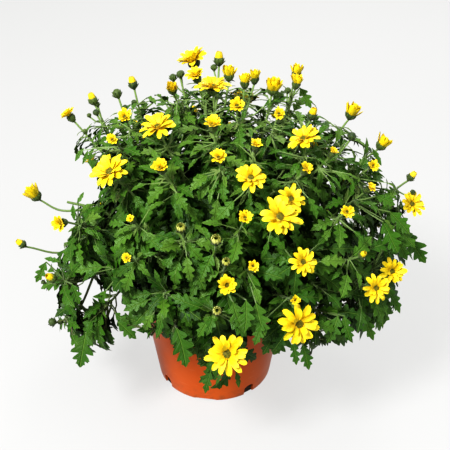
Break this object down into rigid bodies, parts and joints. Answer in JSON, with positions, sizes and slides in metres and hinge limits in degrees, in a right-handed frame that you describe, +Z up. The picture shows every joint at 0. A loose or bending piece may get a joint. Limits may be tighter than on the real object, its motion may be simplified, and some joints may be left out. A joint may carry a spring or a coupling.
{
  "type": "pot chrysanthemum",
  "caption": "Bushy yellow spray chrysanthemum with lobed green leaves, growing in a tapered terracotta-orange plastic pot; it stands on the pot's flat underside.",
  "frame": {"origin": "centre of the pot's flat underside, on its axis", "axes": "+Z up along the pot's axis; -Y towards the front that the picture shows; -Z out of the underside"},
  "size_m": [0.3816, 0.3257, 0.3249],
  "materials": {
    "pot_plastic": "semi-gloss terracotta-orange moulded plastic",
    "soil": "dark, crumbly peat potting mix",
    "leaf_green": "satin, slightly downy living leaf and stem",
    "petal_yellow": "satin bright yellow petals round a darker disc"
  },
  "bodies": {
    "root": {"pot": "pot_plastic", "potting_soil": "soil", "leafy_stem_01": "leaf_green", "leafy_stem_02": "leaf_green", "leafy_stem_03": "leaf_green", "leafy_stem_04": "leaf_green", "leafy_stem_05": "leaf_green", "leafy_stem_06": "leaf_green", "leafy_stem_07": "leaf_green", "leafy_stem_08": "leaf_green", "leafy_stem_09": "leaf_green", "leafy_stem_10": "leaf_green", "leafy_stem_11": "leaf_green", "leafy_stem_12": "leaf_green", "leafy_stem_13": "leaf_green", "leafy_stem_14": "leaf_green", "leafy_stem_15": "leaf_green", "leafy_stem_16": "leaf_green", "leafy_stem_17": "leaf_green", "leafy_stem_18": "leaf_green", "bloom_01": "petal_yellow", "bloom_02": "petal_yellow", "bloom_03": "petal_yellow", "bloom_04": "petal_yellow", "bloom_05": "petal_yellow", "bloom_06": "petal_yellow", "bloom_07": "petal_yellow", "bloom_08": "petal_yellow", "bloom_09": "petal_yellow", "bloom_10": "petal_yellow", "bloom_11": "petal_yellow", "bloom_12": "petal_yellow", "bloom_13": "petal_yellow", "bloom_14": "petal_yellow", "bloom_15": "petal_yellow", "bloom_16": "petal_yellow", "bloom_17": "petal_yellow", "bloom_18": "petal_yellow", "bloom_19": "petal_yellow", "bloom_20": "petal_yellow", "bloom_21": "petal_yellow", "bloom_22": "petal_yellow", "bloom_23": "petal_yellow", "bloom_24": "petal_yellow", "bloom_25": "petal_yellow", "bloom_26": "petal_yellow", "bloom_27": "petal_yellow", "bloom_28": "petal_yellow", "bloom_29": "petal_yellow", "bloom_30": "petal_yellow", "bloom_31": "petal_yellow", "bloom_32": "petal_yellow", "bloom_33": "petal_yellow", "bloom_34": "petal_yellow", "bloom_35": "petal_yellow", "bloom_36": "petal_yellow", "bloom_37": "petal_yellow", "bloom_38": "petal_yellow", "bloom_39": "petal_yellow", "bloom_40": "petal_yellow"}
  },
  "joints": []
}
